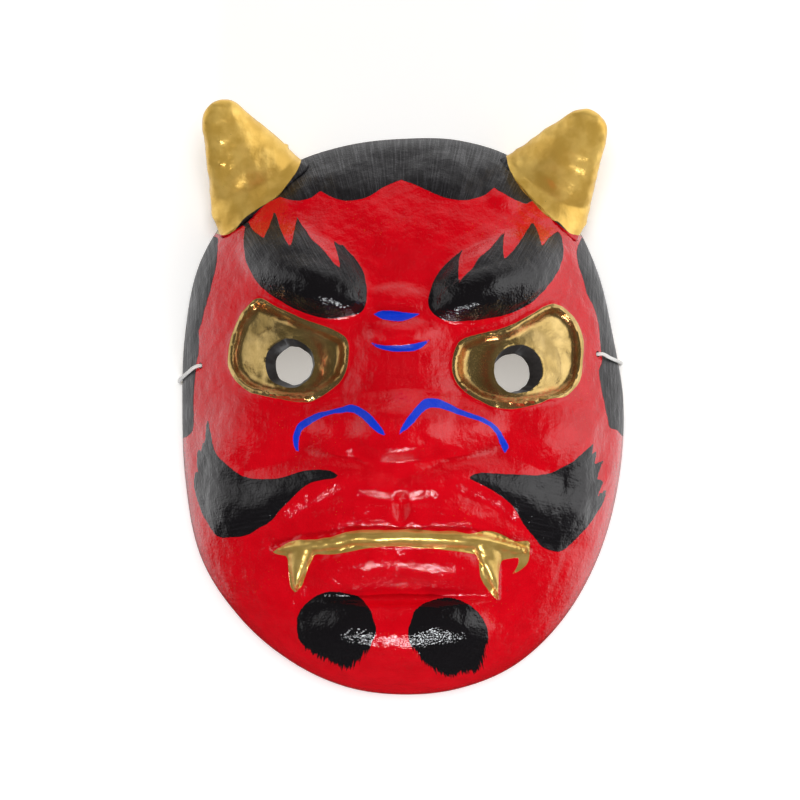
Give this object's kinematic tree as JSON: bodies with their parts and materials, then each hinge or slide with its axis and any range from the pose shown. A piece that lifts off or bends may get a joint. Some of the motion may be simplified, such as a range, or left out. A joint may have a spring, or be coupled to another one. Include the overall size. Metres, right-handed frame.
{
  "type": "papier-mache oni mask",
  "caption": "Hollow papier-mache demon mask with horns, heavy brows, pierced eyes, fanged lip band and an elastic cord, lying face up.",
  "frame": {"origin": "middle of the mask's outline, shell and horns together, on the plane of the shell's cut edge", "axes": "+Z out of the face, +Y from the chin to the horns, +X to the viewer's right; the mask lies face up"},
  "size_m": [0.187, 0.2468, 0.0748],
  "materials": {
    "red_lacquer": "glossy lacquer over papier-mache",
    "gilt_paper": "satin metallic gilt over papier-mache",
    "white_elastic": "braided covering on a rubber core"
  },
  "bodies": {
    "root": {"mask_shell": "red_lacquer", "horn_left": "gilt_paper", "horn_right": "gilt_paper", "cord": "white_elastic", "knot_left": "white_elastic", "knot_right": "white_elastic"}
  },
  "joints": []
}
